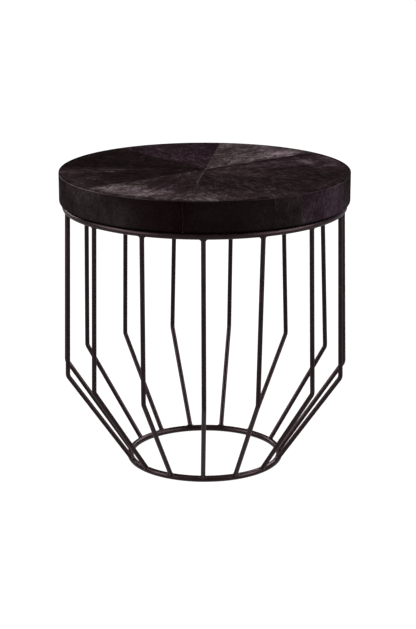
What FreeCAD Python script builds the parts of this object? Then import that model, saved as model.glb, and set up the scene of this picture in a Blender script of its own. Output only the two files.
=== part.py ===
"""Round side table: a drum top dressed in black hair-on hide, screwed to a welded
cage of fifteen bent iron rods between two rings of round bar.

Millimetres, +Z up, origin on the floor under the middle of the table.
Angles are degrees counter-clockwise seen from above, 0 along +X, -90 at the front.
"""
import FreeCAD, Part
import Sketcher
import math
import os

V = FreeCAD.Vector
Z_AXIS = V(0, 0, 1)

doc = FreeCAD.newDocument("round_side_table")

# ---------------------------------------------------------------- dimensions
DIMENSIONS = [
    # whole table
    ("table_diameter", 500.0),
    ("table_height", 520.0),
    ("drum_depth", 54.0),
    # iron cage
    ("bar_diameter", 11.0),
    ("rod_diameter", 8.0),
    ("base_ring_radius", 132.6),
    ("top_ring_radius", 239.5),
    ("top_ring_gap", 1.6),
    ("rod_top_radius", 239.5),
    ("rod_top_height", 458.4),
    ("rod_elbow_radius", 245.8),
    ("rod_elbow_height", 170.0),
    ("rod_bend_radius", 13.0),
    ("weld_radius", 4.0),
    # tabs and screws that hold the drum
    ("tab_thickness", 3.0),
    ("tab_width", 26.0),
    ("tab_inner_radius", 205.0),
    ("tab_screw_radius", 218.0),
    ("tab_hole_diameter", 4.6),
    ("tab_first_angle", -78.0),
    ("screw_shank_diameter", 4.0),
    ("screw_length", 25.0),
    ("screw_head_diameter", 8.4),
    ("screw_head_height", 3.0),
    ("screw_recess_width", 1.1),
    ("screw_recess_length", 4.6),
    ("screw_recess_depth", 1.6),
    ("pilot_diameter", 4.1),
    # drum
    ("hide_thickness", 2.0),
    ("top_board_thickness", 12.0),
    ("spacer_width", 48.0),
    ("spacer_thickness", 14.5),
    ("centre_block_side", 120.0),
    ("bottom_board_thickness", 9.0),
    ("hide_turn_in", 24.0),
    ("liner_thickness", 0.6),
    ("liner_radius", 232.0),
    ("staple_circle_radius", 229.0),
    ("staple_count", 24.0),
    ("staple_crown", 10.0),
    ("staple_wire_width", 1.2),
    ("staple_wire_thickness", 0.7),
    ("staple_leg", 8.0),
    # hide joints: eight wedges on the top, nine pieces round the side
    ("wedge_first_angle", 83.5),
    ("wedge_angle", 45.0),
    ("band_joint_1", -147.0),
    ("band_joint_2", -98.3),
    ("band_joint_3", -63.4),
    ("band_joint_4", -51.1),
    ("band_joint_5", -22.0),
    ("band_joint_6", 24.0),
    ("band_joint_7", 70.0),
    ("band_joint_8", 116.0),
    ("band_joint_9", 162.0),
]

# The rods are set by hand, so each has its own angle at the floor ring, at the
# bend and at the upper ring, as departures from an even pitch of 24 degrees.
ROD_PITCH = 24.0
ROD_FIRST = -90.62
ROD_DEPARTURES = [
    # foot, elbow, top
    (-0.73, 0.30, 0.09),
    (-0.50, -2.52, -0.26),
    (0.34, -0.17, -0.31),
    (0.03, 0.69, 1.27),
    (-0.56, -1.95, -0.37),
    (-1.42, -2.36, 0.02),
    (-0.78, -1.25, 0.05),
    (-0.35, 1.84, 0.64),
    (-0.03, 3.01, 1.81),
    (0.65, 1.77, 1.65),
    (0.08, 1.37, 2.24),
    (-0.06, 1.12, 1.40),
    (0.00, -1.87, -2.45),
    (0.00, -0.48, -0.68),
    (-1.22, 0.35, -0.42),
]
ROD_COUNT = len(ROD_DEPARTURES)
for index, (foot, elbow, top) in enumerate(ROD_DEPARTURES):
    even = ROD_FIRST + ROD_PITCH * index
    DIMENSIONS.append(("rod_%02d_foot_angle" % (index + 1), round(even + foot, 3)))
    DIMENSIONS.append(("rod_%02d_elbow_angle" % (index + 1), round(even + elbow, 3)))
    DIMENSIONS.append(("rod_%02d_top_angle" % (index + 1), round(even + top, 3)))

sheet = doc.addObject("Spreadsheet::Sheet", "Dims")
for row, (alias, value) in enumerate(DIMENSIONS, start=1):
    sheet.set("A%d" % row, alias.replace("_", " "))
    sheet.set("B%d" % row, repr(value))
    sheet.setAlias("B%d" % row, alias)
doc.recompute()


def dim(alias):
    return float(sheet.get(alias))


# Heights worked out from the driving dimensions, as text for the bindings.
DRUM_BOTTOM = "(Dims.table_height - Dims.drum_depth)"
BAR_RADIUS = "(Dims.bar_diameter / 2)"
DRUM_RADIUS = "(Dims.table_diameter / 2)"
CORE_RADIUS = "(Dims.table_diameter / 2 - Dims.hide_thickness)"
UPPER_Z = dim("table_height") - dim("drum_depth") - dim("top_ring_gap") - dim("bar_diameter") / 2
LOWER_Z = dim("bar_diameter") / 2
DRUM_Z = dim("table_height") - dim("drum_depth")

subparts = []


def finished(obj, label):
    """Name a finished piece of the table."""
    obj.Label = label
    subparts.append(obj)
    return obj


def bind(obj, **sizes):
    for prop, text in sizes.items():
        obj.setExpression(prop.replace("__", "."), text)
    return obj


def turn(angle, axis=Z_AXIS):
    return FreeCAD.Rotation(axis, angle)


def plane(body, role):
    for feature in body.Origin.OriginFeatures:
        if feature.Role == role:
            return feature
    raise RuntimeError("no " + role)


def sketch_on(body, name, role):
    sk = body.newObject("Sketcher::SketchObject", name)
    sk.AttachmentSupport = [(plane(body, role), "")]
    sk.MapMode = "FlatFace"
    return sk


def name_constraint(sk, index, name, text):
    sk.renameConstraint(index, name)
    sk.setExpression("Constraints." + name, text)


def polyline(sk, points):
    """Closed run of lines through the points, corners joined."""
    count = len(points)
    for i in range(count):
        a, b = points[i], points[(i + 1) % count]
        sk.addGeometry(Part.LineSegment(V(a[0], a[1], 0), V(b[0], b[1], 0)), False)
    for i in range(count):
        sk.addConstraint(Sketcher.Constraint("Coincident", i, 2, (i + 1) % count, 1))


# ---------------------------------------------------------------- two rings
base_ring = doc.addObject("Part::Torus", "base_ring")
bind(base_ring, Radius1="Dims.base_ring_radius", Radius2=BAR_RADIUS,
     Placement__Base__z=BAR_RADIUS)
base_ring.Placement.Rotation = turn(ROD_FIRST + ROD_PITCH / 2)
finished(base_ring, "base_ring")

top_ring = doc.addObject("Part::Torus", "top_ring")
bind(top_ring, Radius1="Dims.top_ring_radius", Radius2=BAR_RADIUS,
     Placement__Base__z=DRUM_BOTTOM + " - Dims.top_ring_gap - " + BAR_RADIUS)
top_ring.Placement.Rotation = turn(ROD_FIRST + ROD_PITCH / 2)
finished(top_ring, "top_ring")
doc.recompute()

# ---------------------------------------------------------------- fifteen rods
# One rod lies in a plane. In its own frame the lower leg runs up +Z from the
# floor ring's centre line and the upper leg leans back towards -X.
LOWER_RUN = "(Dims.rod_elbow_radius - Dims.base_ring_radius)"
LOWER_RISE = "(Dims.rod_elbow_height - Dims.bar_diameter / 2)"
UPPER_RUN = "(Dims.rod_elbow_radius - Dims.rod_top_radius)"
UPPER_RISE = "(Dims.rod_top_height - Dims.rod_elbow_height)"
BEND = "(atan(%s / %s) + atan(%s / %s))" % (LOWER_RUN, LOWER_RISE, UPPER_RUN, UPPER_RISE)
SETBACK = "Dims.rod_bend_radius * tan(0.5 * %s)" % BEND
LOWER_LEG = "sqrt(%s ^ 2 + %s ^ 2) - %s" % (LOWER_RUN, LOWER_RISE, SETBACK)
UPPER_LEG = "sqrt(%s ^ 2 + %s ^ 2) - %s" % (UPPER_RUN, UPPER_RISE, SETBACK)

run_1 = dim("rod_elbow_radius") - dim("base_ring_radius")
rise_1 = dim("rod_elbow_height") - LOWER_Z
run_2 = dim("rod_elbow_radius") - dim("rod_top_radius")
rise_2 = dim("rod_top_height") - dim("rod_elbow_height")
lean = math.atan2(run_1, rise_1)
bend = lean + math.atan2(run_2, rise_2)
bend_r = dim("rod_bend_radius")
setback = bend_r * math.tan(bend / 2)
leg_1 = math.hypot(run_1, rise_1) - setback
leg_2 = math.hypot(run_2, rise_2) - setback


def rod_placement(number):
    """Stand a rod on the floor ring so that its bend and its upper end come to
    their own angles: a turn about the vertical and a small sideways tilt."""
    foot = dim("rod_%02d_foot_angle" % number)
    to_elbow = math.radians(dim("rod_%02d_elbow_angle" % number) - foot)
    to_top = math.radians(dim("rod_%02d_top_angle" % number) - foot)
    rb = dim("base_ring_radius")
    a1, h1 = run_1, rise_1
    a2, h2 = run_1 - run_2, rise_1 + rise_2
    ex, tx = rb + a1, rb + a2
    swing, tilt = 0.0, 0.0
    for _ in range(6):
        ey, ty = ex * math.tan(to_elbow), tx * math.tan(to_top)
        det = -a1 * h2 + h1 * a2
        s = (-h2 * ey + h1 * ty) / det
        q = (-a2 * ey + a1 * ty) / det
        swing = math.asin(s)
        tilt = math.asin(q / math.cos(swing))
        ex = rb + a1 * math.cos(swing) + h1 * math.sin(tilt) * math.sin(swing)
        tx = rb + a2 * math.cos(swing) + h2 * math.sin(tilt) * math.sin(swing)
    rotation = (turn(foot + math.degrees(swing))
                .multiply(turn(math.degrees(tilt), V(1, 0, 0)))
                .multiply(turn(math.degrees(lean), V(0, 1, 0))))
    base = turn(foot).multVec(V(rb, 0, 0)) + V(0, 0, LOWER_Z)
    return FreeCAD.Placement(base, rotation)


def rod_bar(number):
    body = doc.addObject("PartDesign::Body", "rod_bar_%02d" % number)
    section = sketch_on(body, "rod_section_%02d" % number, "XY_Plane")
    section.addGeometry(Part.Circle(V(0, 0, 0), Z_AXIS, dim("rod_diameter") / 2), False)
    section.addConstraint(Sketcher.Constraint("Coincident", 0, 3, -1, 1))
    k = section.addConstraint(Sketcher.Constraint("Diameter", 0, dim("rod_diameter")))
    name_constraint(section, k, "thickness", "Dims.rod_diameter")

    line = sketch_on(body, "rod_line_%02d" % number, "XZ_Plane")
    bend_end = V(-bend_r + bend_r * math.cos(bend), leg_1 + bend_r * math.sin(bend), 0)
    upper_end = bend_end + V(-math.sin(bend), math.cos(bend), 0) * leg_2
    line.addGeometry(Part.LineSegment(V(0, 0, 0), V(0, leg_1, 0)), False)
    line.addGeometry(Part.ArcOfCircle(Part.Circle(V(-bend_r, leg_1, 0), Z_AXIS, bend_r), 0, bend), False)
    line.addGeometry(Part.LineSegment(bend_end, upper_end), False)
    line.addConstraint(Sketcher.Constraint("Coincident", 0, 1, -1, 1))
    line.addConstraint(Sketcher.Constraint("Vertical", 0))
    line.addConstraint(Sketcher.Constraint("Tangent", 0, 2, 1, 1))
    line.addConstraint(Sketcher.Constraint("Tangent", 1, 2, 2, 1))
    k = line.addConstraint(Sketcher.Constraint("Radius", 1, bend_r))
    name_constraint(line, k, "bend_radius", "Dims.rod_bend_radius")
    k = line.addConstraint(Sketcher.Constraint("Distance", 0, leg_1))
    name_constraint(line, k, "lower_leg", LOWER_LEG)
    k = line.addConstraint(Sketcher.Constraint("Distance", 2, leg_2))
    name_constraint(line, k, "upper_leg", UPPER_LEG)
    k = line.addConstraint(Sketcher.Constraint("Angle", 1, bend))
    name_constraint(line, k, "bend_angle", BEND)

    pipe = body.newObject("PartDesign::AdditivePipe", "rod_pipe_%02d" % number)
    pipe.Profile = section
    pipe.Spine = (line, ["Edge1", "Edge2", "Edge3"])
    body.Placement = rod_placement(number)
    return body


ring_pair = doc.addObject("Part::Compound", "ring_pair")
ring_pair.Links = [base_ring, top_ring]

bars = [rod_bar(number) for number in range(1, ROD_COUNT + 1)]
doc.recompute()

# ---------------------------------------------------------------- weld fillets
# The cage as one lump with every joint rounded out by weld metal. Less the two
# rings, it leaves fifteen rods, each with the weld fillets at its two ends.
lump = doc.addObject("Part::MultiFuse", "cage_lump")
lump.Shapes = bars + [base_ring, top_ring]
doc.recompute()


def joint_edges(shape):
    """Edges where a rod meets a ring: on a ring's skin and on a rod's skin."""
    found = []
    for i, edge in enumerate(shape.Edges, start=1):
        kinds = set(face.Surface.TypeId for face in shape.ancestorsOfType(edge, Part.Face))
        if "Part::GeomToroid" not in kinds or len(kinds) < 2:
            continue
        on_ring = True
        for t in (0.2, 0.5, 0.8):
            first, last = edge.ParameterRange
            p = edge.valueAt(first + (last - first) * t)
            r = math.hypot(p.x, p.y)
            near = min(math.hypot(r - dim("base_ring_radius"), p.z - LOWER_Z),
                       math.hypot(r - dim("top_ring_radius"), p.z - UPPER_Z))
            on_ring = on_ring and abs(near - dim("bar_diameter") / 2) < 0.01
        if on_ring:
            found.append(i)
    return found


edges = joint_edges(lump.Shape)
rounded = doc.addObject("Part::Fillet", "cage_rounded")
rounded.Base = lump
rounded.Edges = [(i, dim("weld_radius"), dim("weld_radius")) for i in edges]
doc.recompute()
welded = rounded.Shape.cut(ring_pair.Shape).Solids
if len(welded) != ROD_COUNT:
    raise RuntimeError("%d rods" % len(welded))


def apart(solid, number):
    """Angle between a solid's middle and a rod's bend."""
    middle = solid.CenterOfMass
    gap = math.degrees(math.atan2(middle.y, middle.x)) - dim("rod_%02d_elbow_angle" % number)
    return abs((gap + 180.0) % 360.0 - 180.0)


for number in range(1, ROD_COUNT + 1):
    rod = doc.addObject("Part::Feature", "rod_%02d" % number)
    rod.Shape = min(welded, key=lambda solid: apart(solid, number))
    bare = math.pi * (dim("rod_diameter") / 2) ** 2 * (leg_1 + bend_r * bend + leg_2)
    if not 0.97 * bare < rod.Shape.Volume < 1.03 * bare:
        raise RuntimeError("rod %d: volume %.0f, bare bar %.0f" % (number, rod.Shape.Volume, bare))
    finished(rod, "rod_%02d" % number)

# ---------------------------------------------------------------- hide on the drum
for number in range(1, 9):
    wedge = doc.addObject("Part::Cylinder", "hide_wedge_%d" % number)
    bind(wedge, Radius=DRUM_RADIUS, Height="Dims.hide_thickness", Angle="Dims.wedge_angle",
         Placement__Base__z="Dims.table_height - Dims.hide_thickness")
    wedge.Placement.Rotation = turn(dim("wedge_first_angle") + dim("wedge_angle") * (number - 1))
    finished(wedge, "hide_wedge_%d" % number)


def value_of(text):
    return float(getattr(base_ring.evalExpression(text), "Value", base_ring.evalExpression(text)))


def outline(sk, corners):
    """Closed outline through corners given as bound texts, each corner held by
    its two distances from the sketch's axes."""
    points = [(value_of(x), value_of(y)) for x, y in corners]
    polyline(sk, points)
    for i, (x, y) in enumerate(corners):
        for kind, axis, text, size in (("DistanceX", -2, x, points[i][0]),
                                       ("DistanceY", -1, y, points[i][1])):
            if abs(size) < 1e-9:
                sk.addConstraint(Sketcher.Constraint("PointOnObject", i, 1, axis))
            else:
                k = sk.addConstraint(Sketcher.Constraint(kind, i, 1, size))
                name_constraint(sk, k, "corner_%d_%s" % (i, kind[-1].lower()), text)


def revolved(name, corners, sweep):
    """Body turned about the vertical, counter-clockwise from +X."""
    body = doc.addObject("PartDesign::Body", name)
    sk = sketch_on(body, name + "_profile", "XZ_Plane")
    outline(sk, corners)
    spin = body.newObject("PartDesign::Revolution", name + "_turned")
    spin.Profile = sk
    spin.ReferenceAxis = (plane(body, "Z_Axis"), [""])
    spin.setExpression("Angle", sweep)
    doc.recompute()
    if spin.Shape.CenterOfMass.y < -0.01:
        spin.Reversed = True
        doc.recompute()
    return body


# Staples go in from below, one every fifteen degrees, clear of the four tabs.
STAPLE_LOW = "(%s - Dims.liner_thickness - Dims.staple_wire_thickness)" % DRUM_BOTTOM
STAPLE_FLAT = "(%s - Dims.liner_thickness)" % DRUM_BOTTOM
STAPLE_TIP = "(%s + Dims.staple_leg)" % STAPLE_LOW
HALF_OUT = "(Dims.staple_crown / 2)"
HALF_IN = "(Dims.staple_crown / 2 - Dims.staple_wire_thickness)"
staple_bodies = []
for number in range(int(dim("staple_count"))):
    body = doc.addObject("PartDesign::Body", "staple_%02d" % (number + 1))
    sk = sketch_on(body, "staple_line_%02d" % (number + 1), "YZ_Plane")
    outline(sk, [("-" + HALF_OUT, STAPLE_LOW), (HALF_OUT, STAPLE_LOW), (HALF_OUT, STAPLE_TIP),
                 (HALF_IN, STAPLE_TIP), (HALF_IN, STAPLE_FLAT), ("-" + HALF_IN, STAPLE_FLAT),
                 ("-" + HALF_IN, STAPLE_TIP), ("-" + HALF_OUT, STAPLE_TIP)])
    pad = body.newObject("PartDesign::Pad", "staple_wire_%02d" % (number + 1))
    pad.Profile = sk
    pad.Midplane = True
    pad.setExpression("Length", "Dims.staple_wire_width")
    angle = dim("tab_first_angle") + (number + 0.5) * 360.0 / dim("staple_count")
    body.Placement = FreeCAD.Placement(turn(angle).multVec(V(dim("staple_circle_radius"), 0, 0)), turn(angle))
    staple_bodies.append(body)
staples = doc.addObject("Part::Compound", "liner_staples")
staples.Links = staple_bodies
doc.recompute()
finished(staples, "liner_staples")

EDGE = DRUM_RADIUS
INNER = CORE_RADIUS
TURNED = "(%s - Dims.hide_turn_in)" % DRUM_RADIUS
FOLD = "(%s + Dims.hide_thickness)" % DRUM_BOTTOM
CROWN = "(Dims.table_height - Dims.hide_thickness)"
for number in range(1, 10):
    start = "Dims.band_joint_%d" % number
    if number < 9:
        sweep = "Dims.band_joint_%d - %s" % (number + 1, start)
    else:
        sweep = "360 + Dims.band_joint_1 - %s" % start
    panel = revolved("band_panel_%d" % number,
                     [(EDGE, DRUM_BOTTOM), (EDGE, CROWN), (INNER, CROWN), (INNER, FOLD),
                      (TURNED, FOLD), (TURNED, DRUM_BOTTOM)], sweep)
    panel.Placement = FreeCAD.Placement(V(0, 0, 0), turn(dim("band_joint_%d" % number)))
    band = doc.addObject("Part::Cut", "hide_band_%d" % number)
    band.Base, band.Tool = panel, staples
    finished(band, "hide_band_%d" % number)
doc.recompute()

# ---------------------------------------------------------------- boards in the drum
def disc(name, radius, height, low):
    obj = doc.addObject("Part::Cylinder", name)
    return bind(obj, Radius=radius, Height=height, Placement__Base__z=low)


def less(base, tool, label):
    cut = doc.addObject("Part::Cut", label)
    cut.Base, cut.Tool = base, tool
    return cut


BOARD_LOW = FOLD
SPACER_LOW = "(%s + Dims.bottom_board_thickness)" % BOARD_LOW
SPACER_MID = "(%s + Dims.spacer_thickness)" % SPACER_LOW
SPACER_TOP = "(%s + Dims.spacer_thickness)" % SPACER_MID
HOLLOW = "(%s - Dims.spacer_width)" % CORE_RADIUS

drills = []
for number in range(4):
    drill = disc("pilot_%d" % (number + 1), "Dims.pilot_diameter / 2", "Dims.screw_length", STAPLE_FLAT)
    spot = turn(dim("tab_first_angle") + 90.0 * number).multVec(V(dim("tab_screw_radius"), 0, 0))
    drill.Placement.Base.x, drill.Placement.Base.y = spot.x, spot.y
    drills.append(drill)
pilots = doc.addObject("Part::Compound", "pilots")
pilots.Links = drills

finished(disc("top_board", CORE_RADIUS, "Dims.top_board_thickness", SPACER_TOP), "top_board")
finished(less(disc("upper_ring_blank", CORE_RADIUS, "Dims.spacer_thickness", SPACER_MID),
              disc("upper_ring_hollow", HOLLOW, "Dims.spacer_thickness", SPACER_MID),
              "spacer_ring_upper"), "spacer_ring_upper")
finished(less(less(disc("lower_ring_blank", CORE_RADIUS, "Dims.spacer_thickness", SPACER_LOW),
                   disc("lower_ring_hollow", HOLLOW, "Dims.spacer_thickness", SPACER_LOW),
                   "lower_ring"), pilots, "spacer_ring_lower"), "spacer_ring_lower")
block = doc.addObject("Part::Box", "centre_block")
bind(block, Length="Dims.centre_block_side", Width="Dims.centre_block_side",
     Height="2 * Dims.spacer_thickness", Placement__Base__x="-Dims.centre_block_side / 2",
     Placement__Base__y="-Dims.centre_block_side / 2", Placement__Base__z=SPACER_LOW)
finished(block, "centre_block")
finished(less(less(disc("bottom_board_blank", CORE_RADIUS, "Dims.bottom_board_thickness", BOARD_LOW),
                   pilots, "bottom_board_drilled"), staples, "bottom_board"), "bottom_board")
finished(less(less(disc("liner_blank", "Dims.liner_radius", "Dims.liner_thickness", STAPLE_FLAT),
                   pilots, "liner_pierced"), staples, "underside_liner"), "underside_liner")
doc.recompute()

# ---------------------------------------------------------------- tabs and screws
TAB_LOW = "(%s - Dims.tab_thickness)" % STAPLE_FLAT
HALF_TAB = "(Dims.tab_width / 2)"
screw_bodies = []
for number in range(1, 5):
    angle = dim("tab_first_angle") + 90.0 * (number - 1)
    body = doc.addObject("PartDesign::Body", "tab_plate_%d" % number)
    sk = sketch_on(body, "tab_outline_%d" % number, "XY_Plane")
    outline(sk, [("Dims.tab_inner_radius", "-" + HALF_TAB), ("Dims.top_ring_radius", "-" + HALF_TAB),
                 ("Dims.top_ring_radius", HALF_TAB), ("Dims.tab_inner_radius", HALF_TAB)])
    circle = sk.addGeometry(Part.Circle(V(dim("tab_screw_radius"), 0, 0), Z_AXIS,
                                        dim("tab_hole_diameter") / 2), False)
    sk.addConstraint(Sketcher.Constraint("PointOnObject", circle, 3, -1))
    k = sk.addConstraint(Sketcher.Constraint("DistanceX", circle, 3, dim("tab_screw_radius")))
    name_constraint(sk, k, "hole_place", "Dims.tab_screw_radius")
    k = sk.addConstraint(Sketcher.Constraint("Diameter", circle, dim("tab_hole_diameter")))
    name_constraint(sk, k, "hole_size", "Dims.tab_hole_diameter")
    pad = body.newObject("PartDesign::Pad", "tab_pad_%d" % number)
    pad.Profile = sk
    pad.setExpression("Length", "Dims.tab_thickness")
    doc.recompute()
    corners = []
    for i, edge in enumerate(pad.Shape.Edges, start=1):
        box = edge.BoundBox
        if box.ZLength > 1 and abs(box.XMin - dim("tab_inner_radius")) < 0.01 and box.XLength < 0.01:
            corners.append("Edge%d" % i)
    soft = body.newObject("PartDesign::Fillet", "tab_corners_%d" % number)
    soft.Base = (pad, corners)
    soft.Radius = 9.0
    body.Placement = FreeCAD.Placement(V(0, 0, value_of(TAB_LOW)), turn(angle))
    tab = doc.addObject("Part::Cut", "fixing_tab_%d" % number)
    tab.Base, tab.Tool = body, top_ring
    finished(tab, "fixing_tab_%d" % number)

    # Pan-head screw, its head under the tab and its shank up into the lower rim ring.
    SHANK = "(Dims.screw_shank_diameter / 2)"
    HEAD = "(Dims.screw_head_diameter / 2)"
    HIGH = "Dims.screw_head_height"
    screw = revolved("screw_%d" % number,
                     [("0", "-" + HIGH), ("0.55 * " + HEAD, "-" + HIGH),
                      ("0.86 * " + HEAD, "-0.75 * " + HIGH), (HEAD, "-0.3 * " + HIGH), (HEAD, "0"),
                      (SHANK, "0"), (SHANK, "Dims.screw_length - 2 * " + SHANK),
                      ("0", "Dims.screw_length")], "360")
    cross = sketch_on(screw, "screw_recess_%d" % number, "XY_Plane")
    cross.setExpression("AttachmentOffset.Base.z", "-" + HIGH)
    LONG = "(Dims.screw_recess_length / 2)"
    SLIM = "(Dims.screw_recess_width / 2)"
    outline(cross, [(LONG, "-" + SLIM), (LONG, SLIM), (SLIM, SLIM), (SLIM, LONG), ("-" + SLIM, LONG),
                    ("-" + SLIM, SLIM), ("-" + LONG, SLIM), ("-" + LONG, "-" + SLIM),
                    ("-" + SLIM, "-" + SLIM), ("-" + SLIM, "-" + LONG), (SLIM, "-" + LONG),
                    (SLIM, "-" + SLIM)])
    before = screw.Shape.Volume
    recess = screw.newObject("PartDesign::Pocket", "screw_cross_%d" % number)
    recess.Profile = cross
    recess.Reversed = True
    recess.setExpression("Length", "Dims.screw_recess_depth")
    doc.recompute()
    if not screw.Shape.Volume < before - 1.0:
        raise RuntimeError("screw recess cut nothing")
    screw.Placement = FreeCAD.Placement(turn(angle).multVec(V(dim("tab_screw_radius"), 0, 0))
                                        + V(0, 0, value_of(TAB_LOW)), turn(angle + 31.0 * number))
    screw_bodies.append(screw)
screws = doc.addObject("Part::Compound", "top_screws")
screws.Links = screw_bodies
finished(screws, "top_screws")
doc.recompute()

# ---------------------------------------------------------------- check and write
for obj in doc.Objects:
    if "Invalid" in obj.State or "Error" in obj.State:
        raise RuntimeError("%s failed: %s" % (obj.Label, obj.State))
for obj in subparts:
    if obj.Shape.isNull() or not obj.Shape.isValid() or not obj.Shape.Solids:
        raise RuntimeError("%s has no good shape" % obj.Label)

os.makedirs("parts", exist_ok=True)
total = FreeCAD.BoundBox()
for obj in subparts:
    obj.Shape.exportStep("parts/%s.step" % obj.Label)
    total.add(obj.Shape.optimalBoundingBox(False))
print("%d pieces, box %.2f x %.2f x %.2f mm, lowest %.3f" % (
    len(subparts), total.XLength, total.YLength, total.ZLength, total.ZMin))
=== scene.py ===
"""Looks of the round side table: hair-on hide over a drum, on a cage of iron rods.

Metres, +Z up, -Y towards the viewer. Angles in degrees, counter-clockwise seen
from above, 0 along +X.
"""
import bpy
import bmesh
import math
import numpy as np
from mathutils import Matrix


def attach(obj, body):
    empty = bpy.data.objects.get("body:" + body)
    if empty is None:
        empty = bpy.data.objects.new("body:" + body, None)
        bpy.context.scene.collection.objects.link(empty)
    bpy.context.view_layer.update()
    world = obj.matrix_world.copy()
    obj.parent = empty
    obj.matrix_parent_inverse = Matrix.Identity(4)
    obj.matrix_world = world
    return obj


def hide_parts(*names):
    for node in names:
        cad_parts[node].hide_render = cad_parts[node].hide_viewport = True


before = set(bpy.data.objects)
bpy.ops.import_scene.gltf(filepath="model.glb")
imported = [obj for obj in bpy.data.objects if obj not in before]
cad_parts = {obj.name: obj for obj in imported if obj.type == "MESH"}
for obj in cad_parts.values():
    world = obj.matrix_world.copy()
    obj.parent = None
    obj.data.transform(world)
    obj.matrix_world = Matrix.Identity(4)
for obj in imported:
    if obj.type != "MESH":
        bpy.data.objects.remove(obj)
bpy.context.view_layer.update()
MM = 0.001
scene = bpy.context.scene


# ------------------------------------------------------------------ noise
def lattice(ix, iy, seed):
    """One number from 0 to 1 for each whole point of a grid."""
    n = (ix.astype(np.int64) * 374761393 + iy.astype(np.int64) * 668265263 + seed * 974634541) & 0xFFFFFFFF
    n = ((n ^ (n >> 13)) * 1274126177) & 0xFFFFFFFF
    n = ((n ^ (n >> 16)) * 2246822519) & 0xFFFFFFFF
    n = n ^ (n >> 15)
    return (n & 0xFFFFFF) / float(0xFFFFFF)


def noise(x, y, seed=0):
    """Smooth noise from -1 to 1 with about one hump per unit."""
    x, y = np.asarray(x, float), np.asarray(y, float)
    ix, iy = np.floor(x), np.floor(y)
    fx, fy = x - ix, y - iy
    fx, fy = fx * fx * fx * (fx * (fx * 6 - 15) + 10), fy * fy * fy * (fy * (fy * 6 - 15) + 10)
    a, b = lattice(ix, iy, seed), lattice(ix + 1, iy, seed)
    c, d = lattice(ix, iy + 1, seed), lattice(ix + 1, iy + 1, seed)
    return (a + (b - a) * fx + (c - a) * fy + (a - b - c + d) * fx * fy) * 2 - 1


def layered(x, y, seed, octaves=3):
    total, size, weight = 0.0, 1.0, 1.0
    for k in range(octaves):
        total = total + noise(x * size, y * size, seed + 17 * k) * weight
        size, weight = size * 2.03, weight * 0.5
    return total


# ------------------------------------------------------------------ materials
def new_material(name):
    m = bpy.data.materials.new(name)
    m.use_nodes = True
    nt = m.node_tree
    for n in list(nt.nodes):
        if n.type != "OUTPUT_MATERIAL":
            nt.nodes.remove(n)
    out = next(n for n in nt.nodes if n.type == "OUTPUT_MATERIAL")
    bsdf = nt.nodes.new("ShaderNodeBsdfPrincipled")
    nt.links.new(bsdf.outputs[0], out.inputs["Surface"])
    return m, nt, bsdf


def node(nt, kind, **settings):
    n = nt.nodes.new(kind)
    for key, value in settings.items():
        setattr(n, key, value)
    return n


def noise_node(nt, vector, scale, detail=3.0, rough=0.55, distortion=0.0):
    n = node(nt, "ShaderNodeTexNoise")
    n.inputs["Scale"].default_value = scale
    n.inputs["Detail"].default_value = detail
    n.inputs["Roughness"].default_value = rough
    n.inputs["Distortion"].default_value = distortion
    nt.links.new(vector, n.inputs["Vector"])
    return n.outputs["Fac"]


def stretch(nt, vector, sx, sy, sz=1.0):
    n = node(nt, "ShaderNodeMapping")
    n.inputs["Scale"].default_value = (sx, sy, sz)
    nt.links.new(vector, n.inputs["Vector"])
    return n.outputs["Vector"]


def remap(nt, value, lo, hi, to_lo, to_hi):
    n = node(nt, "ShaderNodeMapRange", clamp=True)
    for key, number in (("From Min", lo), ("From Max", hi), ("To Min", to_lo), ("To Max", to_hi)):
        n.inputs[key].default_value = number
    nt.links.new(value, n.inputs["Value"])
    return n.outputs["Result"]


def maths(nt, how, a, b):
    n = node(nt, "ShaderNodeMath", operation=how)
    for socket, value in zip(n.inputs, (a, b)):
        if isinstance(value, (int, float)):
            socket.default_value = value
        else:
            nt.links.new(value, socket)
    return n.outputs[0]


def ramp(nt, value, stops):
    n = node(nt, "ShaderNodeValToRGB")
    while len(n.color_ramp.elements) < len(stops):
        n.color_ramp.elements.new(0.5)
    for e, (at, colour) in zip(n.color_ramp.elements, stops):
        e.position, e.color = at, (*colour, 1.0)
    nt.links.new(value, n.inputs["Fac"])
    return n.outputs["Color"]


def blend(nt, factor, a, b, how="MIX"):
    n = node(nt, "ShaderNodeMix", data_type="RGBA", blend_type=how)
    for socket, value in ((n.inputs["Factor"], factor), (n.inputs[6], a), (n.inputs[7], b)):
        if isinstance(value, (int, float)):
            socket.default_value = value
        elif isinstance(value, tuple):
            socket.default_value = (*value, 1.0)
        else:
            nt.links.new(value, socket)
    return n.outputs[2]


def bump(nt, height, strength, distance, below=None):
    n = node(nt, "ShaderNodeBump")
    n.inputs["Strength"].default_value = strength
    n.inputs["Distance"].default_value = distance
    nt.links.new(height, n.inputs["Height"])
    if below is not None:
        nt.links.new(below, n.inputs["Normal"])
    return n.outputs["Normal"]


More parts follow.
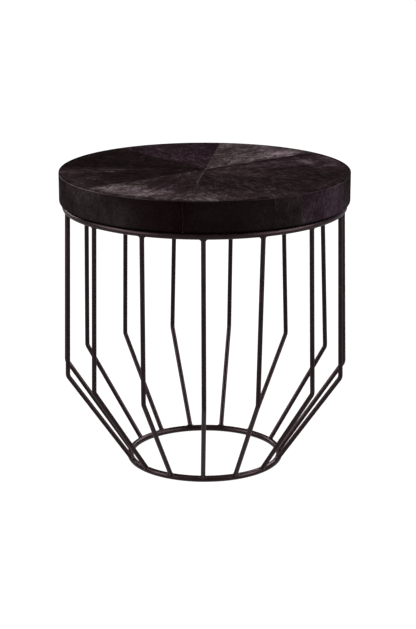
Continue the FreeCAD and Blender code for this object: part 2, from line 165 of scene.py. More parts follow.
def hide_material(name, quiet, lively, darkest, gloss):
    """Short black hair lying one way. The map named hair has its first axis
    along the hair; its tone value says how light the hair is, with the hair's sheen and shade painted in, cool how much
    blue the painted sheen has, its edge value where a pale cut edge or a painted highlight on the rim shows. Quiet and
    lively are how much the clumps stand out in dark and in light hair, darkest is the colour of the deepest hair."""
    m, nt, bsdf = new_material(name)
    uv = node(nt, "ShaderNodeUVMap", uv_map="hair").outputs["UV"]
    tone_and_painted_light = node(nt, "ShaderNodeAttribute", attribute_name="tone_and_painted_light").outputs["Fac"]
    cut_edge_and_rim_highlight = node(nt, "ShaderNodeAttribute", attribute_name="cut_edge_and_rim_highlight").outputs["Fac"]
    cool = node(nt, "ShaderNodeAttribute", attribute_name="cool").outputs["Fac"]
    strands = noise_node(nt, stretch(nt, uv, 60.0, 1100.0), 1.0, 3.0, 0.62)
    flecks = noise_node(nt, stretch(nt, uv, 62.0, 120.0), 1.0, 4.0, 0.68, 0.3)
    mottle = noise_node(nt, stretch(nt, uv, 36.0, 58.0), 1.0, 4.0, 0.62)
    ticks = noise_node(nt, stretch(nt, uv, 150.0, 260.0), 1.0, 2.0, 0.60)
    lay = maths(nt, "ADD", maths(nt, "MULTIPLY", strands, 0.30), maths(nt, "MULTIPLY", flecks, 0.80))
    lay = maths(nt, "ADD", lay, maths(nt, "MULTIPLY", mottle, 0.45))
    lay = maths(nt, "ADD", lay, maths(nt, "MULTIPLY", ticks, 0.60))
    # light hair shows its clumps, dark hair less so
    lay = maths(nt, "MULTIPLY", maths(nt, "SUBTRACT", lay, 1.075), remap(nt, tone_and_painted_light, -0.08, 0.18, quiet, lively))
    lay = maths(nt, "ADD", maths(nt, "ADD", lay, 0.50), tone_and_painted_light)
    colour = ramp(nt, lay, [(0.30, darkest), (0.48, (0.0066, 0.0051, 0.0047)),
                            (0.60, (0.0165, 0.0141, 0.0138)), (0.74, (0.047, 0.0436, 0.0428)),
                            (0.92, (0.140, 0.137, 0.134))])
    # a blue cast painted in for the hair's sheen
    colour = blend(nt, cool, colour, (0.98, 0.72, 1.03), "MULTIPLY")
    # pale where a cut edge shows, and a painted highlight along the band's rim
    colour = blend(nt, cut_edge_and_rim_highlight, colour, (0.28, 0.255, 0.250))
    nt.links.new(colour, bsdf.inputs["Base Color"])
    nt.links.new(remap(nt, mottle, 0.3, 0.7, 0.38, 0.56), bsdf.inputs["Roughness"])
    n1 = bump(nt, mottle, 0.30, 0.0016)
    n2 = bump(nt, flecks, 0.50, 0.0008, n1)
    n3 = bump(nt, strands, 0.50, 0.0002, n2)
    nt.links.new(n3, bsdf.inputs["Normal"])
    tangent = node(nt, "ShaderNodeTangent", direction_type="UV_MAP", uv_map="hair")
    nt.links.new(tangent.outputs[0], bsdf.inputs["Tangent"])
    bsdf.inputs["Anisotropic"].default_value = 0.85
    bsdf.inputs["Anisotropic Rotation"].default_value = 0.25
    bsdf.inputs["Specular IOR Level"].default_value = gloss
    bsdf.inputs["Specular Tint"].default_value = (1.0, 0.80, 0.88, 1.0)
    return m


def iron_material():
    """Dark satin coating over bent bar: faint orange peel, drawn marks and rubbed spots."""
    m, nt, bsdf = new_material("black_iron")
    where = node(nt, "ShaderNodeTexCoord").outputs["Object"]
    peel = noise_node(nt, where, 900.0, 2.0)
    cloud = noise_node(nt, where, 38.0, 4.0, 0.6)
    drawn = noise_node(nt, stretch(nt, where, 420.0, 420.0, 16.0), 1.0, 3.0)
    colour = ramp(nt, cloud, [(0.30, (0.0045, 0.0027, 0.0027)), (0.55, (0.0070, 0.0044, 0.0044)),
                              (0.78, (0.0115, 0.0077, 0.0076))])
    nt.links.new(colour, bsdf.inputs["Base Color"])
    nt.links.new(remap(nt, cloud, 0.3, 0.7, 0.26, 0.38), bsdf.inputs["Roughness"])
    n1 = bump(nt, drawn, 0.25, 0.0003)
    n2 = bump(nt, peel, 0.25, 0.00012, n1)
    nt.links.new(n2, bsdf.inputs["Normal"])
    bsdf.inputs["Specular IOR Level"].default_value = 0.26
    bsdf.inputs["Specular Tint"].default_value = (1.0, 0.83, 0.84, 1.0)
    return m


def board_material():
    """Fibreboard: fine fleck and clouding."""
    m, nt, bsdf = new_material("fibreboard")
    where = node(nt, "ShaderNodeTexCoord").outputs["Object"]
    fleck = noise_node(nt, where, 700.0, 3.0)
    cloud = noise_node(nt, where, 30.0, 3.0)
    both = maths(nt, "ADD", maths(nt, "MULTIPLY", fleck, 0.6), maths(nt, "MULTIPLY", cloud, 0.4))
    nt.links.new(ramp(nt, both, [(0.3, (0.20, 0.13, 0.075)), (0.55, (0.33, 0.225, 0.135)), (0.8, (0.44, 0.32, 0.20))]),
                 bsdf.inputs["Base Color"])
    nt.links.new(remap(nt, fleck, 0.3, 0.7, 0.75, 0.92), bsdf.inputs["Roughness"])
    nt.links.new(bump(nt, fleck, 0.3, 0.0002), bsdf.inputs["Normal"])
    return m


def liner_material():
    """Thin black non-woven cloth: bonded fibre with a small embossed dot grid."""
    m, nt, bsdf = new_material("liner_cloth")
    where = node(nt, "ShaderNodeTexCoord").outputs["Object"]
    fibre = noise_node(nt, stretch(nt, where, 1.0, 1.7), 520.0, 5.0, 0.72, 1.4)
    dots = node(nt, "ShaderNodeTexVoronoi", feature="F1")
    dots.inputs["Scale"].default_value = 420.0
    dots.inputs["Randomness"].default_value = 0.12
    nt.links.new(where, dots.inputs["Vector"])
    dot = remap(nt, dots.outputs["Distance"], 0.18, 0.34, 0.0, 1.0)
    cloud = noise_node(nt, where, 24.0, 3.0)
    mix = maths(nt, "ADD", maths(nt, "MULTIPLY", fibre, 0.6), maths(nt, "MULTIPLY", cloud, 0.4))
    colour = ramp(nt, mix, [(0.36, (0.0045, 0.0040, 0.0042)), (0.5, (0.0105, 0.0095, 0.0098)), (0.64, (0.026, 0.024, 0.025))])
    colour = blend(nt, maths(nt, "SUBTRACT", 1.0, dot), colour, (0.0055, 0.0050, 0.0052))
    nt.links.new(colour, bsdf.inputs["Base Color"])
    nt.links.new(remap(nt, fibre, 0.3, 0.7, 0.72, 0.92), bsdf.inputs["Roughness"])
    n1 = bump(nt, fibre, 0.7, 0.0005)
    nt.links.new(bump(nt, dot, 0.7, 0.0004, n1), bsdf.inputs["Normal"])
    bsdf.inputs["Specular IOR Level"].default_value = 0.20
    bsdf.inputs["Sheen Weight"].default_value = 0.02
    return m


def plated_material():
    """Zinc plate on screws and staples: warm grey with faint clouding."""
    m, nt, bsdf = new_material("zinc_plate")
    where = node(nt, "ShaderNodeTexCoord").outputs["Object"]
    cloud = noise_node(nt, where, 420.0, 3.0)
    fine = noise_node(nt, where, 2600.0, 2.0)
    nt.links.new(ramp(nt, cloud, [(0.3, (0.30, 0.29, 0.26)), (0.7, (0.52, 0.51, 0.47))]), bsdf.inputs["Base Color"])
    nt.links.new(remap(nt, cloud, 0.3, 0.7, 0.28, 0.46), bsdf.inputs["Roughness"])
    nt.links.new(bump(nt, fine, 0.2, 0.00008), bsdf.inputs["Normal"])
    bsdf.inputs["Metallic"].default_value = 1.0
    return m


HIDE = hide_material("black_hair_hide", 0.58, 0.72, (0.0022, 0.0014, 0.0013), 0.0004)
SIDE_HIDE = hide_material("black_hair_hide_side", 0.26, 0.36, (0.0031, 0.0013, 0.0015), 0.0)
IRON, BOARD, LINER, PLATED = iron_material(), board_material(), liner_material(), plated_material()


def dress(name, material):
    o = bpy.data.objects[name]
    o.data.materials.clear()
    o.data.materials.append(material)
    for slot in o.material_slots:
        slot.link = "DATA"
        slot.material = material


# ------------------------------------------------------------------ mesh helper
def make_piece(name, points, faces, material, hair=None, tone_and_painted_light=None, cut_edge_and_rim_highlight=None, cool=None, smooth=True):
    """A mesh object from points in millimetres, with the hair map and the three
    point values that the hide material reads."""
    me = bpy.data.meshes.new(name)
    me.from_pydata([tuple(p) for p in (np.asarray(points) * MM)], [], faces)
    me.materials.append(material)
    if hair is not None:
        layer = me.uv_layers.new(name="hair")
        index = np.empty(len(me.loops), int)
        me.loops.foreach_get("vertex_index", index)
        layer.data.foreach_set("uv", (np.asarray(hair)[index] * MM).astype(np.float32).ravel())
    for key, values in (("tone_and_painted_light", tone_and_painted_light), ("cut_edge_and_rim_highlight", cut_edge_and_rim_highlight), ("cool", cool)):
        if values is not None:
            a = me.attributes.new(key, "FLOAT", "POINT")
            a.data.foreach_set("value", np.asarray(values, np.float32))
    me.polygons.foreach_set("use_smooth", [smooth] * len(me.polygons))
    me.update()
    o = bpy.data.objects.new(name, me)
    scene.collection.objects.link(o)
    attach(o, "root")
    return o


# ------------------------------------------------------------------ hide on the top
DRUM_R, TOP_Z, HIDE_T = 250.0, 520.0, 2.0
WEDGE_FIRST, WEDGE_SWEEP = 83.5, 45.0
GAP = 0.12
STEP = 1.7

# Each wedge: turn of its hair from the wedge's middle line, tone at the centre and at the rim
# (its own tone with painted sheen and shade, lighter or darker as its hair catches the light), blue of the painted
# sheen, and lighter or darker patches as angle, radius, direction of the long side, half length, half width, amount and
# how sharply they end; the lighter patches are painted sheen.
WEDGES = [
    (4.0, 0.048, 0.030, 0.6, [(87.0, 195.0, 87.0, 55.0, 14.0, -0.05, 1.0), (104.0, 140.0, 14.0, 60.0, 24.0, -0.025, 1.0),
                              (108.0, 200.0, 18.0, 40.0, 24.0, 0.055, 1.2)]),
    (-6.0, -0.066, -0.068, 0.0, [(136.0, 130.0, 136.0, 80.0, 20.0, 0.02, 1.0)]),
    (5.0, -0.080, 0.024, 0.0, [(181.0, 150.0, 181.0, 34.0, 7.0, 0.15, 1.0), (186.8, 164.0, 183.0, 27.0, 4.5, 0.18, 1.0),
                               (188.0, 236.0, 180.0, 22.0, 14.0, 0.05, 1.0), (184.0, 222.0, 180.0, 45.0, 16.0, 0.05, 1.0),
                               (200.0, 205.0, 200.0, 40.0, 25.0, 0.03, 1.0)]),
    (-3.0, 0.014, 0.050, 0.1, [(-124.0, 206.0, -35.0, 54.0, 44.0, 0.190, 1.8), (-136.0, 226.0, -45.0, 38.0, 30.0, 0.150, 1.4),
                                (-138.0, 165.0, -140.0, 34.0, 15.0, 0.07, 1.2), (-104.0, 222.0, -12.0, 46.0, 32.0, 0.085, 1.6),
                                (-98.0, 243.0, -8.0, 34.0, 12.0, 0.10, 1.0), (-119.0, 35.0, -119.0, 45.0, 40.0, 0.03, 1.0)]),
    (3.0, 0.016, 0.066, 0.1, [(-92.0, 220.0, -2.0, 50.0, 34.0, 0.075, 1.8), (-91.0, 243.0, 0.0, 48.0, 12.0, 0.09, 1.0),
                               (-90.0, 75.0, -92.0, 55.0, 17.0, -0.022, 1.0), (-57.0, 115.0, -55.0, 75.0, 18.0, 0.03, 1.0)]),
    (-5.0, -0.004, -0.008, 0.0, [(-28.0, 48.0, -24.0, 64.0, 38.0, 0.095, 1.0)]),
    (6.0, 0.038, 0.018, 0.4, [(19.0, 126.0, 18.0, 50.0, 26.0, 0.055, 1.2), (36.5, 150.0, 38.5, 105.0, 9.0, -0.06, 1.0),
                              (21.0, 214.0, 108.0, 50.0, 38.0, 0.09, 2.5), (20.5, 187.0, 120.0, 22.0, 10.0, 0.155, 1.2),
                              (8.5, 216.0, 30.0, 26.0, 11.0, 0.06, 1.2), (0.0, 172.0, 80.0, 26.0, 14.0, -0.05, 1.0)]),
    (-4.0, 0.150, 0.172, 0.0, [(46.0, 165.0, 40.0, 66.0, 28.0, 0.155, 1.0), (79.0, 225.0, 79.0, 26.0, 20.0, 0.06, 1.0),
                               (40.0, 240.0, 38.5, 32.0, 9.0, -0.17, 1.0), (76.0, 150.0, 76.0, 42.0, 20.0, -0.04, 1.2)]),
]


def between(inner, outer):
    """Triangles between two rows of points that share their first and last sides."""
    faces, i, j = [], 0, 0
    n, m = len(inner) - 1, len(outer) - 1
    while i < n or j < m:
        if j < m and (i == n or (j + 1) / m <= (i + 1) / max(n, 1) or n == 0):
            faces.append((inner[i], outer[j], outer[j + 1]))
            j += 1
        else:
            faces.append((inner[i], outer[j], inner[i + 1]))
            i += 1
    return faces


def hide_wedge(number):
    start = WEDGE_FIRST + WEDGE_SWEEP * (number - 1)
    twist, centre_tone_with_painted_light, rim_tone_with_painted_light, cool, painted_sheen_and_dark_patches = WEDGES[number - 1]
    seed = 100 * number
    flat_r = DRUM_R - 2.2
    rows = [(r, TOP_Z) for r in np.arange(STEP, flat_r - 0.5 * STEP, STEP)] + [(flat_r, TOP_Z)]
    for a in (18, 36, 54, 72, 90):  # rounded rim
        rows.append((flat_r + 2.05 * math.sin(math.radians(a)), TOP_Z - 1.7 * (1 - math.cos(math.radians(a)))))
    rows.append((flat_r + 1.35, TOP_Z - 1.93))
    radius, height, angle, index_rows = [0.4], [TOP_Z], [start + WEDGE_SWEEP / 2], [[0]]
    for r, z in rows:
        count = max(2, int(round(r * math.radians(WEDGE_SWEEP) / STEP)))
        inset = math.degrees(math.asin(min(GAP / r, math.sin(math.radians(WEDGE_SWEEP / 2.2)))))
        first = len(radius)
        for a in np.linspace(start + inset, start + WEDGE_SWEEP - inset, count + 1):
            radius.append(r)
            height.append(z)
            angle.append(a)
        index_rows.append(list(range(first, len(radius))))
    radius, height, angle = np.array(radius), np.array(height), np.radians(np.array(angle))
    x, y, z = radius * np.cos(angle), radius * np.sin(angle), height
    middle = math.radians(start + WEDGE_SWEEP / 2 + twist)
    along = x * math.cos(middle) + y * math.sin(middle)
    across = -x * math.sin(middle) + y * math.cos(middle)
    across = across + 5.0 * noise(x / 62.0, y / 62.0, seed + 1) + 1.6 * noise(x / 21.0, y / 21.0, seed + 2)
    # distance to the nearer joint
    d0 = np.abs(radius * np.sin(angle - math.radians(start)))
    d1 = np.abs(radius * np.sin(math.radians(start + WEDGE_SWEEP) - angle))
    joint = np.minimum(d0, d1)
    on_top = np.clip((DRUM_R - 1.0 - radius) / 4.0, 0, 1)
    lie = (0.11 * layered(along / 16.0, across / 2.8, seed + 3, 2)
           + 0.10 * noise(along / 34.0, across / 9.0, seed + 4))
    swell = 0.16 * noise(x / 55.0, y / 55.0, seed + 5) - 0.10
    dip = 0.09 * np.exp(-(joint / 1.0) ** 2) + 0.05 * np.exp(-(joint / 4.0) ** 2)
    z = z + (lie * np.clip(joint / 3.0, 0.15, 1) + swell) * on_top - dip * np.clip(on_top + 0.35, 0, 1)
    share = np.clip(radius / DRUM_R, 0, 1)
    # painted sheen and shade: each wedge is set lighter or darker by how its hair catches the light, and its lighter
    # patches are painted sheen
    tone_and_painted_light = centre_tone_with_painted_light + (rim_tone_with_painted_light - centre_tone_with_painted_light) * share ** 2
    for at, out, way, long, wide, amount, sharp in painted_sheen_and_dark_patches:
        px, py = out * math.cos(math.radians(at)), out * math.sin(math.radians(at))
        wx, wy = math.cos(math.radians(way)), math.sin(math.radians(way))
        u = ((x - px) * wx + (y - py) * wy) / long
        v = ((y - py) * wx - (x - px) * wy) / wide
        ragged = 1.0 + 0.22 * noise(x / 30.0, y / 30.0, seed + 8) + 0.15 * noise(along / 14.0, across / 7.0, seed + 9)
        tone_and_painted_light = tone_and_painted_light + amount * np.exp(-((u * u + v * v) * ragged) ** sharp)
    # painted shade: the hair is made darker where it turns over the rim on the back half
    tone_and_painted_light = tone_and_painted_light - 0.13 * np.clip((radius - 242.5) / 5.0, 0, 1) * np.clip(3.0 * np.sin(angle) + 0.3, 0, 1)
    clouds = 0.028 * layered(x / 48.0, y / 48.0, seed + 6, 3) + 0.022 * layered(along / 30.0, across / 9.0, seed + 7, 3)
    tone_and_painted_light = tone_and_painted_light + clouds * (1.0 + 4.5 * np.clip(tone_and_painted_light, 0, 0.2))
    cut_edge_and_rim_highlight = np.zeros_like(x)
    if number == 5:  # the front joint stands a little open near the middle and shows its pale cut edge
        cut_edge_and_rim_highlight = 0.24 * np.exp(-(d0 / 0.5) ** 2) * np.clip((126.0 - radius) / 12.0, 0, 1) * np.clip(radius / 30.0, 0, 1)
    points = np.stack([x, y, z], 1)
    faces = []
    for inner, outer in zip(index_rows[:-1], index_rows[1:]):
        faces += between(inner, outer)
    # skirt down to the board and a flat underside
    loop = ([0] + [row[0] for row in index_rows[1:]] + index_rows[-1][1:]
            + [row[-1] for row in index_rows[-2:0:-1]])
    low = points[loop].copy()
    inward = np.clip(1.0 - 0.5 / np.maximum(np.hypot(low[:, 0], low[:, 1]), 1.0), 0, 1)
    rim = np.isin(loop, index_rows[-1])
    low[:, 0] *= np.where(rim, inward, 1.0)
    low[:, 1] *= np.where(rim, inward, 1.0)
    low[:, 2] = TOP_Z - HIDE_T + 0.02
    base = len(points)
    points = np.concatenate([points, low])
    n = len(loop)
    for k in range(n):
        faces.append((loop[k], base + k, base + (k + 1) % n, loop[(k + 1) % n]))
    faces.append(tuple(base + k for k in range(n - 1, -1, -1)))
    full = lambda values: np.concatenate([values, np.asarray(values)[loop]])
    return make_piece("hide_wedge_%d_hair" % number, points, faces, HIDE,
                      np.stack([full(along), full(across)], 1), full(tone_and_painted_light), full(cut_edge_and_rim_highlight),
                      np.clip(full(cool + 0.20 * layered(x / 60.0, y / 60.0, seed + 10, 2)), 0, 1))


# ------------------------------------------------------------------ hide round the side
BAND_JOINTS = [-147.0, -98.3, -63.4, -51.1, -22.0, 24.0, 70.0, 116.0, 162.0, 213.0]
DRUM_Z, TURN_IN = 466.0, 24.0
# Each panel: turn of its hair from straight down, tone at its two ends (its own tone with painted shade and sheen,
# darkest at the front and lighter at the left and right sides), how late the second takes over, blue of the painted
# sheen, and how far its first edge shows pale.
PANELS = [(5.0, 0.10, -0.18, 1.6, 0.1, 0.00), (-4.0, -0.155, -0.030, 1.0, 0.0, 0.02), (9.0, 0.015, 0.08, 1.5, 0.1, 0.015),
          (-8.0, 0.075, 0.175, 0.8, 0.7, 0.01), (6.0, 0.09, 0.05, 1.0, 0.4, 0.02), (-5.0, 0.00, -0.04, 1.0, 0.2, 0.00),
          (4.0, -0.06, -0.03, 1.0, 0.0, 0.02), (-7.0, 0.02, -0.02, 1.0, 0.2, 0.00), (6.0, 0.03, 0.06, 1.0, 0.0, 0.02)]


def hide_band(number):
    a0, a1 = BAND_JOINTS[number - 1], BAND_JOINTS[number]
    twist, start_tone_with_painted_light, end_tone_with_painted_light, late, cool, pale = PANELS[number - 1]
    seed = 2000 + 100 * number
    # outline of the section, from the joint at the rim down the side and in under the drum
    line = [(248.6, 517.9), (249.25, 517.8), (249.7, 517.45), (249.95, 516.9)]
    line += [(250.0, z) for z in np.arange(515.8, DRUM_Z + 5.6, -1.7)]
    line += [(245.0 + 5.0 * math.cos(math.radians(a)), DRUM_Z + 5.0 - 5.0 * math.sin(math.radians(a)))
             for a in (0, 15, 30, 45, 60, 75, 90)]
    line += [(r, DRUM_Z) for r in np.arange(243.4, DRUM_R - TURN_IN + 1.0, -1.8)] + [(DRUM_R - TURN_IN, DRUM_Z + 0.1)]
    outer_count = len(line)
    line += [(DRUM_R - TURN_IN, DRUM_Z + 1.95), (236.0, DRUM_Z + 1.95), (248.05, DRUM_Z + 2.0),
             (248.05, 492.0), (248.05, 517.9)]
    line = np.array(line)
    run = np.concatenate([[0], np.cumsum(np.hypot(*np.diff(line, axis=0).T))])
    gap = math.degrees(GAP / DRUM_R)
    columns = max(4, int(round(DRUM_R * math.radians(a1 - a0) / 1.8)))
    angles = np.linspace(a0 + gap, a1 - gap, columns + 1)
    A, K = np.meshgrid(np.radians(angles), np.arange(len(line)))
    R, Z, S = line[K, 0], line[K, 1], run[K]
    arc = DRUM_R * (A - math.radians(a0))
    tilt = math.radians(twist)
    along = S * math.cos(tilt) + arc * math.sin(tilt)
    across = -S * math.sin(tilt) + arc * math.cos(tilt)
    across = across + 3.5 * noise(arc / 42.0, S / 42.0, seed + 1) + 1.2 * noise(arc / 15.0, S / 15.0, seed + 2)
    joint = np.minimum(arc, DRUM_R * (math.radians(a1) - A))
    outer = (K < outer_count).astype(float)
    side = outer * np.clip((S - 1.5) / 4.0, 0, 1) * np.clip((Z - DRUM_Z) / 4.0, 0, 1)
    lie = 0.11 * layered(along / 16.0, across / 2.8, seed + 3, 2) + 0.08 * noise(along / 30.0, across / 9.0, seed + 4)
    swell = 0.16 * noise(arc / 40.0, S / 34.0, seed + 5) - 0.12
    dip = 0.25 * np.exp(-(joint / 1.0) ** 2) + 0.10 * np.exp(-(joint / 4.0) ** 2)
    R = R + side * (lie * np.clip(joint / 3.0, 0.15, 1) + swell) - dip * outer * (Z > DRUM_Z + 2.0)
    # turned-in hem: pressed flat by the ring, with small pleats inside it where the hide is gathered
    under = outer * (S > run[outer_count - 1] - 21.0)
    hem = np.clip((236.5 - R) / 8.0, 0, 1)
    Z = Z + under * hem * (0.35 + 0.30 * noise(arc / 6.5, 0 * S, seed + 8) + 0.12 * noise(arc / 2.6, S / 9.0, seed + 9))
    # painted shade and sheen: each panel's tone runs between its two ends, darkest towards the front
    tone_and_painted_light = start_tone_with_painted_light + (end_tone_with_painted_light - start_tone_with_painted_light) * ((A - math.radians(a0)) / math.radians(a1 - a0)) ** late
    tone_and_painted_light = tone_and_painted_light + 0.045 * layered(arc / 40.0, S / 44.0, seed + 6, 3) + 0.012 * layered(along / 40.0, across / 10.0, seed + 7, 2)
    tone_and_painted_light = tone_and_painted_light - 0.09 * np.clip((DRUM_Z + 3.0 - Z) / 3.0, 0, 1)  # painted shade: darker where the hair turns under the drum
    front = np.abs((np.degrees(A) + 90.0 + 180.0) % 360.0 - 180.0)
    # the band's top edge shows pale: partly its cut edge, partly a painted highlight that fades out towards the front
    # and is weaker on the right half
    cut_edge_and_rim_highlight = np.where((S > 0.2) & (S < 1.6), 0.26 + 0.14 * noise(arc / 30.0, 0 * S, seed + 10), 0.0) * outer
    cut_edge_and_rim_highlight = cut_edge_and_rim_highlight * np.where(np.cos(A) > 0, 0.6, 1.0) * (0.12 + 0.88 * np.clip((front - 15.0) / 30.0, 0, 1)) + pale * outer * np.exp(-(arc / 0.8) ** 2)
    points = np.stack([(R * np.cos(A)).ravel(), (R * np.sin(A)).ravel(), Z.ravel()], 1)
    rows, cols = K.shape
    faces = []
    for k in range(rows):
        k2 = (k + 1) % rows
        for c in range(cols - 1):
            faces.append((k * cols + c, k2 * cols + c, k2 * cols + c + 1, k * cols + c + 1))
    faces.append(tuple(k * cols for k in range(rows - 1, -1, -1)))
    faces.append(tuple(k * cols + cols - 1 for k in range(rows)))
    return make_piece("hide_band_%d_hair" % number, points, faces, SIDE_HIDE,
                      np.stack([2.2 * along.ravel(), 1.7 * across.ravel()], 1), tone_and_painted_light.ravel(), np.clip(cut_edge_and_rim_highlight, 0, 1).ravel(),
                      np.clip(cool + 0.20 * layered(arc / 45.0, S / 40.0, seed + 11, 2), 0, 1).ravel())


# ------------------------------------------------------------------ cloth under the drum
LINER_R, LINER_T, LINER_LOW = 232.0, 0.5, 465.42
TAB_ANGLES = [-78.0 + 90.0 * k for k in range(4)]
STAPLE_ANGLES = np.array([-78.0 + (k + 0.5) * 15.0 for k in range(24)])
STAPLE_R, SCREW_R = 229.0, 218.0


def underside_cloth():
    """The cloth that closes the drum from below: tight at its staples and tabs,
    slack in the middle, and puckered between one staple and the next."""
    columns = 480
    rows = list(np.linspace(4.0, 188.0, 47)) + list(np.linspace(190.2, LINER_R, 20))
    T, R = np.meshgrid(np.radians(np.arange(columns) * 360.0 / columns), rows)
    # along the edge: 0 at a staple, 1 half way to the next
    away = np.min(np.abs((np.degrees(T)[..., None] - STAPLE_ANGLES + 180.0) % 360.0 - 180.0), axis=-1) / 7.5
    near_edge = np.clip((R - 190.0) / (LINER_R - 190.0), 0, 1)
    R = R - near_edge ** 3 * (1.1 * away ** 2 + 0.25 * noise(T * 70.0, 0 * T, 4001))
    x, y = R * np.cos(T), R * np.sin(T)
    between_staples = np.sin(0.5 * math.pi * np.clip(away * 1.15 - 0.15, 0, 1)) ** 2
    droop = -0.65 * between_staples * np.exp(-(LINER_R - R) / 11.0) * (1.0 + 0.3 * noise(T * 7.6, 0 * T, 4002))
    drawn = -0.30 * np.sin(math.pi * away * 1.5) * np.exp(-(LINER_R - R) / 26.0)
    slack = 0.45 * layered(x / 105.0, y / 105.0, 4003, 2) + 0.12 * layered(x / 26.0, y / 26.0, 4004, 2) - 0.25
    slack = slack * np.clip((212.0 - R) / 40.0, 0, 1)
    pull = np.ones_like(R)
    for a in TAB_ANGLES:  # flat under each tab, easing off round it
        c, q = math.cos(math.radians(a)), math.sin(math.radians(a))
        out, side = x * c + y * q, np.abs(y * c - x * q)
        clear = np.hypot(np.clip(side - 14.0, 0, None), np.clip(203.0 - out, 0, None)) / 22.0
        pull = np.minimum(pull, np.where(out > 0, np.clip(clear, 0, 1), 1.0))
    pull = pull * pull * (3 - 2 * pull)
    low = LINER_LOW + pull * np.minimum(droop + drawn + slack, np.where(R > 222.0, 0.0, 0.9))
    points = [np.array([[0.0, 0.0, LINER_LOW + slack[0].mean()]]), np.stack([x.ravel(), y.ravel(), low.ravel()], 1)]
    under = np.concatenate(points)
    count = len(under)
    upper = under + np.array([0.0, 0.0, LINER_T])
    grid = lambda k, c: 1 + k * columns + c % columns
    faces = [(0, grid(0, c + 1), grid(0, c)) for c in range(columns)]
    for k in range(len(rows) - 1):
        for c in range(columns):
            faces.append((grid(k, c), grid(k, c + 1), grid(k + 1, c + 1), grid(k + 1, c)))
    # room for the four screws
    holes = [(SCREW_R * math.cos(math.radians(a)), SCREW_R * math.sin(math.radians(a))) for a in TAB_ANGLES]
    faces = [f for f in faces if all(min(math.hypot(under[v][0] - hx, under[v][1] - hy) for hx, hy in holes) > 2.4 for v in f)]
    sides = set((f[i], f[(i + 1) % len(f)]) for f in faces for i in range(len(f)))
    rim = [(i, j) for i, j in sides if (j, i) not in sides]
    rim.sort()
    faces = faces + [tuple(v + count for v in reversed(f)) for f in faces] + [(j, i, i + count, j + count) for i, j in rim]
    used = sorted(set(v for f in faces for v in f))
    place = {v: k for k, v in enumerate(used)}
    return make_piece("underside_cloth", np.concatenate([under, upper])[used],
                      [tuple(place[v] for v in f) for f in faces], LINER)


# Every piece of hide and cloth stands in for its plain solid, which is hidden.
for number in range(1, 9):
    piece = hide_wedge(number)
    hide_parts("hide_wedge_%d" % number)
for number in range(1, 10):
    piece = hide_band(number)
    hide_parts("hide_band_%d" % number)
piece = underside_cloth()
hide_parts("underside_liner")

# ------------------------------------------------------------------ CAD pieces that stay
for name in ["rod_%02d" % n for n in range(1, 16)] + ["top_ring", "base_ring"] \
        + ["fixing_tab_%d" % n for n in range(1, 5)]:
    dress(name, IRON)
for name in ("top_board", "spacer_ring_upper", "spacer_ring_lower", "centre_block", "bottom_board"):
    dress(name, BOARD)
for name in ("top_screws", "liner_staples"):
    dress(name, PLATED)

# ------------------------------------------------------------------ floor, light, camera
me = bpy.data.meshes.new("floor")
bm = bmesh.new()
bmesh.ops.create_circle(bm, cap_ends=True, radius=30.0, segments=96)
bm.to_mesh(me)
bm.free()
floor = bpy.data.objects.new("floor", me)
scene.collection.objects.link(floor)
m, nt, bsdf = new_material("pale_floor")
where = node(nt, "ShaderNodeTexCoord").outputs["Object"]
grain = noise_node(nt, where, 3.0, 3.0)
nt.links.new(ramp(nt, grain, [(0.3, (0.085, 0.088, 0.087)), (0.7, (0.095, 0.098, 0.097))]), bsdf.inputs["Base Color"])
bsdf.inputs["Roughness"].default_value = 0.9
bsdf.inputs["Specular IOR Level"].default_value = 0.0
bsdf.inputs["Emission Color"].default_value = (1.0, 1.0, 1.0, 1.0)
bsdf.inputs["Emission Strength"].default_value = 1.0
me.materials.append(m)
floor.visible_glossy = False  # keeps its white out of the bars' gloss

# A plain white wall far behind, all round, seen only by the camera.
me = bpy.data.meshes.new("backdrop")
bm = bmesh.new()
bmesh.ops.create_cone(bm, cap_ends=False, radius1=28.0, radius2=28.0, depth=10.0, segments=128)
bmesh.ops.translate(bm, verts=bm.verts, vec=(0.0, 0.0, 4.9))
bmesh.ops.reverse_faces(bm, faces=bm.faces)
bm.to_mesh(me)
bm.free()
backdrop = bpy.data.objects.new("backdrop", me)
scene.collection.objects.link(backdrop)
m, nt, bsdf = new_material("white_wall")
bsdf.inputs["Base Color"].default_value = (0.0, 0.0, 0.0, 1.0)
bsdf.inputs["Specular IOR Level"].default_value = 0.0
bsdf.inputs["Emission Color"].default_value = (1.0, 1.0, 1.0, 1.0)
bsdf.inputs["Emission Strength"].default_value = 1.0
me.materials.append(m)
backdrop.visible_diffuse = backdrop.visible_glossy = backdrop.visible_shadow = False

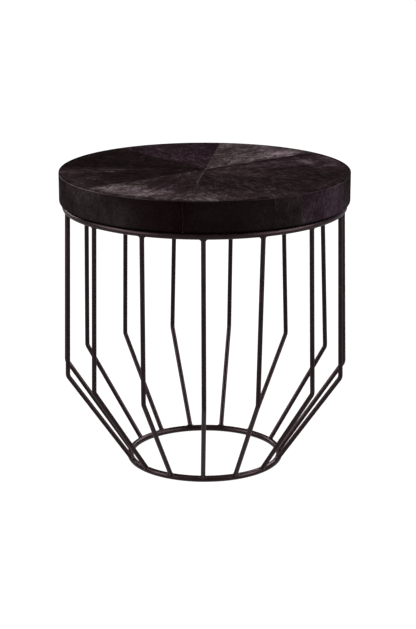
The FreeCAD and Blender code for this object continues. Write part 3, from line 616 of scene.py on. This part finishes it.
# The room's own light: dim, a little brighter overhead.
world = bpy.data.worlds.new("studio")
scene.world = world
world.use_nodes = True
wt = world.node_tree
background = next(n for n in wt.nodes if n.type == "BACKGROUND")
rise = node(wt, "ShaderNodeSeparateXYZ")
wt.links.new(node(wt, "ShaderNodeTexCoord").outputs["Generated"], rise.inputs[0])
sky = ramp(wt, remap(wt, rise.outputs["Z"], -1.0, 1.0, 0.0, 1.0),
           [(0.0, (0.66, 0.555, 0.58)), (0.20, (0.56, 0.465, 0.49)), (0.36, (0.46, 0.374, 0.403)), (0.49, (0.37, 0.30, 0.324)), (0.51, (0.23, 0.185, 0.20)),
            (0.75, (0.16, 0.12, 0.135)), (1.0, (0.30, 0.24, 0.26))])
wt.links.new(sky, background.inputs["Color"])
background.inputs["Strength"].default_value = 1.0


def softbox(name, azimuth, elevation, distance, width, height, power, aim=(0, 0, 0.4)):
    light = bpy.data.lights.new(name, "AREA")
    light.shape = "RECTANGLE"
    light.size, light.size_y, light.energy = width, height, power
    light.color = (1.0, 0.83, 0.88)
    o = bpy.data.objects.new(name, light)
    a, e = math.radians(azimuth), math.radians(elevation)
    o.location = (distance * math.cos(e) * math.cos(a), distance * math.cos(e) * math.sin(a), distance * math.sin(e) + 0.3)
    from mathutils import Vector
    o.rotation_euler = (Vector(aim) - o.location).to_track_quat("-Z", "Y").to_euler()
    scene.collection.objects.link(o)
    return o


softbox("key", 58.0, 33.0, 3.2, 1.6, 1.2, 50.0)
softbox("overhead", -90.0, 80.0, 3.4, 3.0, 3.0, 55.0)
softbox("fill", -104.0, 38.0, 4.2, 2.4, 1.8, 125.0).visible_glossy = False
softbox("left", -172.0, 33.0, 3.2, 1.3, 1.5, 46.0)
softbox("right", -8.0, 33.0, 3.2, 1.3, 1.5, 46.0)
softbox("back", 132.0, 22.0, 3.4, 1.5, 1.0, 36.0)
for side, azimuth in (("left", -150.0), ("right", -30.0)):  # low strips that only the bars' gloss shows
    softbox("strip " + side, azimuth, 16.0, 3.4, 2.2, 2.2, 68.0, (0, 0, 0.3)).visible_diffuse = False

# The camera looks slightly down on the table from 3.1 metres in front.
PIXELS_H = 629.0
FOCAL_PX = 1856.9
cam = bpy.data.cameras.new("camera")
cam.sensor_fit = "VERTICAL"
cam.sensor_height = 36.0
cam.lens = FOCAL_PX * 36.0 / PIXELS_H
cam.clip_start, cam.clip_end = 0.1, 100.0
camera = bpy.data.objects.new("camera", cam)
camera.location = (0.0, -3.1264, 1.1485)
camera.rotation_euler = (math.radians(90.0 - 15.842), 0.0, -math.atan(3.34 / FOCAL_PX))
scene.collection.objects.link(camera)
scene.camera = camera

scene.view_settings.view_transform = "Standard"
scene.view_settings.look = "None"
